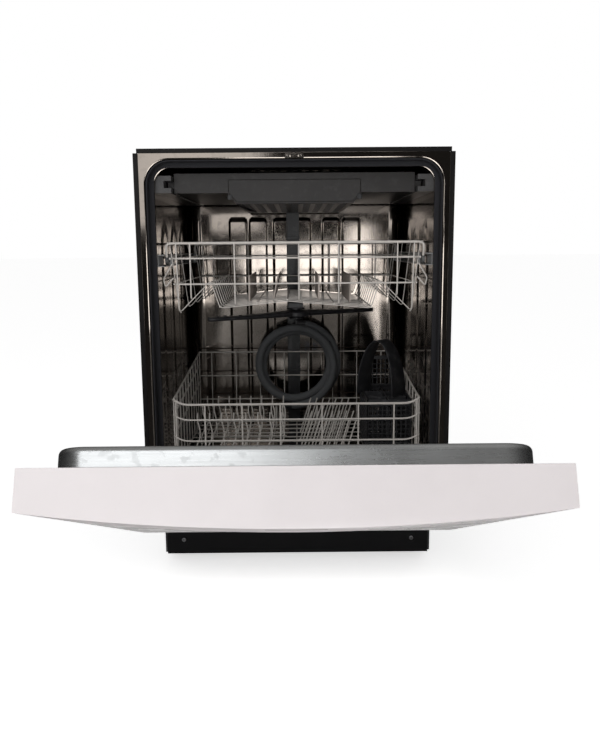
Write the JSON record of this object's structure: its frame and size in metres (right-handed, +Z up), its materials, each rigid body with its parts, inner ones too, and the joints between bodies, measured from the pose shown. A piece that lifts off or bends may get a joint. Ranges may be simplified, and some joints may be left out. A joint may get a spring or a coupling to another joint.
{
  "type": "built-in dishwasher",
  "caption": "Built-in dishwasher with its door part open, two wire racks, a cutlery tray, spray arms, a cutlery basket and a loose coil of drain hose.",
  "frame": {"origin": "on the floor, under the middle of the machine with its door standing part open", "axes": "+X to the right as seen from the front, +Y into the machine, +Z up"},
  "size_m": [0.597, 1.215, 0.816],
  "materials": {
    "tub_steel": "satin rolled stainless sheet",
    "liner_steel": "polished stainless sheet",
    "seal_rubber": "matt rubber",
    "black_steel": "black painted sheet",
    "jacket_felt": "bitumen-backed felt",
    "base_plastic": "black moulded polypropylene",
    "zinc_steel": "zinc plated",
    "black_plastic": "black wash-proof plastic",
    "rail_plastic": "grey acetal",
    "filter_mesh": "perforated stainless",
    "grey_plastic": "dark grey plastic",
    "tray_plastic": "dark warm grey moulded plastic",
    "pump_plastic": "blue-grey glass filled plastic",
    "valve_plastic": "white acetal",
    "white_enamel": "white enamelled steel",
    "white_plastic": "warm white moulded plastic",
    "key_plastic": "light grey key caps",
    "display_glass": "smoked window",
    "board_green": "solder-masked board",
    "rinse_blue": "blue cap",
    "coated_wire": "vinyl coated steel wire",
    "hose_grey": "grey rubber hose"
  },
  "bodies": {
    "cabinet": {"tub_shell": "tub_steel", "tub_back": "tub_steel", "tub_floor": "tub_steel", "door_seal": "seal_rubber", "front_posts": "black_steel", "top_strip": "black_steel", "insulation_jacket": "jacket_felt", "base_tray": "base_plastic", "toe_kick": "base_plastic", "toe_kick_screws": "zinc_steel", "latch_striker": "tub_steel", "feed_duct": "black_plastic", "upper_rail_left": "rail_plastic", "upper_rail_right": "rail_plastic", "tray_rail_left": "rail_plastic", "tray_rail_right": "rail_plastic", "sump": "base_plastic", "filter_screen": "filter_mesh", "wash_pump": "pump_plastic", "drain_pump": "pump_plastic", "inlet_valve": "valve_plastic", "hinge_brackets": "zinc_steel"},
    "door": {"door_panel": "white_enamel", "control_panel": "white_plastic", "door_liner": "liner_steel", "hinge_arm_left": "zinc_steel", "hinge_arm_right": "zinc_steel", "latch_housing": "black_plastic", "control_board": "board_green", "display_window": "display_glass", "dispenser": "grey_plastic"},
    "latch_hook": {"latch_hook": "zinc_steel"},
    "power_button": {"power_button": "key_plastic"},
    "program_button_1": {"program_button_1": "key_plastic"},
    "program_button_2": {"program_button_2": "key_plastic"},
    "start_button": {"start_button": "key_plastic"},
    "dispenser_lid": {"dispenser_lid": "grey_plastic"},
    "rinse_cap": {"rinse_cap": "rinse_blue"},
    "cutlery_tray": {"cutlery_tray": "tray_plastic"},
    "upper_rack": {"upper_rack_ends": "coated_wire", "upper_rack_sides": "coated_wire", "upper_rack_floor": "coated_wire", "upper_feed_tube": "black_plastic"},
    "upper_wheels_front": {"upper_wheels_front": "rail_plastic"},
    "upper_wheels_rear": {"upper_wheels_rear": "rail_plastic"},
    "upper_spray_arm": {"upper_spray_arm": "black_plastic"},
    "lower_rack": {"lower_rack_ends": "coated_wire", "lower_rack_sides": "coated_wire", "lower_rack_floor": "coated_wire", "lower_tines": "coated_wire", "hose_coil": "hose_grey"},
    "lower_wheels_front": {"lower_wheels_front": "rail_plastic"},
    "lower_wheels_rear": {"lower_wheels_rear": "rail_plastic"},
    "cutlery_basket": {"cutlery_basket": "black_plastic", "basket_handle": "black_plastic"},
    "lower_spray_arm": {"lower_spray_arm": "black_plastic"},
    "filter_cup": {"filter_cup": "grey_plastic"},
    "foot_front_left": {"foot_front_left": "black_plastic"},
    "foot_front_right": {"foot_front_right": "black_plastic"},
    "foot_rear": {"foot_rear": "black_plastic"}
  },
  "joints": [
    {"name": "door_hinge", "type": "hinge", "parent": "cabinet", "child": "door", "pos_m": [0, 0.04625, 0.121], "axis": [1, 0, 0], "range_deg": [-67.1, 22.9]},
    {"name": "latch_hook_turn", "type": "hinge", "parent": "door", "child": "latch_hook", "pos_m": [0, -0.57434, 0.3737], "axis": [1, 0, 0], "range_deg": [-8, 0], "stiffness_Nm_per_rad": 0.02, "springref_deg": 17.19},
    {"name": "power_button_press", "type": "slide", "parent": "door", "child": "power_button", "axis": [0, 0.3891, 0.9212], "range_m": [0, 0.0015], "stiffness_N_per_m": 400, "springref_m": -0.0005},
    {"name": "program_button_1_press", "type": "slide", "parent": "door", "child": "program_button_1", "axis": [0, 0.3891, 0.9212], "range_m": [0, 0.0015], "stiffness_N_per_m": 400, "springref_m": -0.0005},
    {"name": "program_button_2_press", "type": "slide", "parent": "door", "child": "program_button_2", "axis": [0, 0.3891, 0.9212], "range_m": [0, 0.0015], "stiffness_N_per_m": 400, "springref_m": -0.0005},
    {"name": "start_button_press", "type": "slide", "parent": "door", "child": "start_button", "axis": [0, 0.3891, 0.9212], "range_m": [0, 0.0015], "stiffness_N_per_m": 400, "springref_m": -0.0005},
    {"name": "dispenser_lid_flip", "type": "hinge", "parent": "door", "child": "dispenser_lid", "pos_m": [0, -0.17798, 0.26348], "axis": [-1, 0, 0], "range_deg": [0, 100]},
    {"name": "rinse_cap_turn", "type": "hinge", "parent": "door", "child": "rinse_cap", "pos_m": [0.05, -0.22354, 0.28414], "axis": [0, 0.3891, 0.9212], "range_deg": [0, 90]},
    {"name": "cutlery_tray_slide", "type": "slide", "parent": "cabinet", "child": "cutlery_tray", "axis": [0, -1, 0], "range_m": [0, 0.32]},
    {"name": "upper_rack_slide", "type": "slide", "parent": "cabinet", "child": "upper_rack", "axis": [0, -1, 0], "range_m": [0, 0.4]},
    {"name": "upper_wheels_front_roll", "type": "hinge", "parent": "upper_rack", "child": "upper_wheels_front", "pos_m": [0, 0.16154, 0.613], "axis": [1, 0, 0], "range_deg": [0, 2547.5]},
    {"name": "upper_wheels_rear_roll", "type": "hinge", "parent": "upper_rack", "child": "upper_wheels_rear", "pos_m": [0, 0.51155, 0.613], "axis": [1, 0, 0], "range_deg": [0, 2547.5]},
    {"name": "upper_spray_arm_spin", "type": "hinge", "parent": "upper_rack", "child": "upper_spray_arm", "pos_m": [0, 0.32405, 0.486], "axis": [0, 0, 1], "continuous": true},
    {"name": "lower_rack_slide", "type": "slide", "parent": "cabinet", "child": "lower_rack", "axis": [0, -1, 0], "range_m": [0, 0.06]},
    {"name": "lower_wheels_front_roll", "type": "hinge", "parent": "lower_rack", "child": "lower_wheels_front", "pos_m": [0, 0.15654, 0.1833], "axis": [1, 0, 0], "range_deg": [0, 203.2]},
    {"name": "lower_wheels_rear_roll", "type": "hinge", "parent": "lower_rack", "child": "lower_wheels_rear", "pos_m": [0, 0.49155, 0.1833], "axis": [1, 0, 0], "range_deg": [0, 203.2]},
    {"name": "cutlery_basket_lift", "type": "slide", "parent": "lower_rack", "child": "cutlery_basket", "axis": [0, 0, 1], "range_m": [0, 0.045]},
    {"name": "lower_spray_arm_spin", "type": "hinge", "parent": "cabinet", "child": "lower_spray_arm", "pos_m": [0, 0.32405, 0.172], "axis": [0, 0, 1], "continuous": true},
    {"name": "filter_cup_turn", "type": "hinge", "parent": "cabinet", "child": "filter_cup", "pos_m": [0, 0.21904, 0.15], "axis": [0, 0, 1], "range_deg": [0, 90]},
    {"name": "foot_front_left_screw", "type": "slide", "parent": "cabinet", "child": "foot_front_left", "axis": [0, 0, -1], "range_m": [0, 0.045]},
    {"name": "foot_front_right_screw", "type": "slide", "parent": "cabinet", "child": "foot_front_right", "axis": [0, 0, -1], "range_m": [0, 0.045]},
    {"name": "foot_rear_screw", "type": "slide", "parent": "cabinet", "child": "foot_rear", "axis": [0, 0, -1], "range_m": [0, 0.045]}
  ],
  "couplings": [
    {"joint": "upper_wheels_front_roll", "follows": "upper_rack_slide", "rad_per_m": 111.11},
    {"joint": "upper_wheels_rear_roll", "follows": "upper_rack_slide", "rad_per_m": 111.11},
    {"joint": "lower_wheels_front_roll", "follows": "lower_rack_slide", "rad_per_m": 58.824},
    {"joint": "lower_wheels_rear_roll", "follows": "lower_rack_slide", "rad_per_m": 58.824}
  ]
}
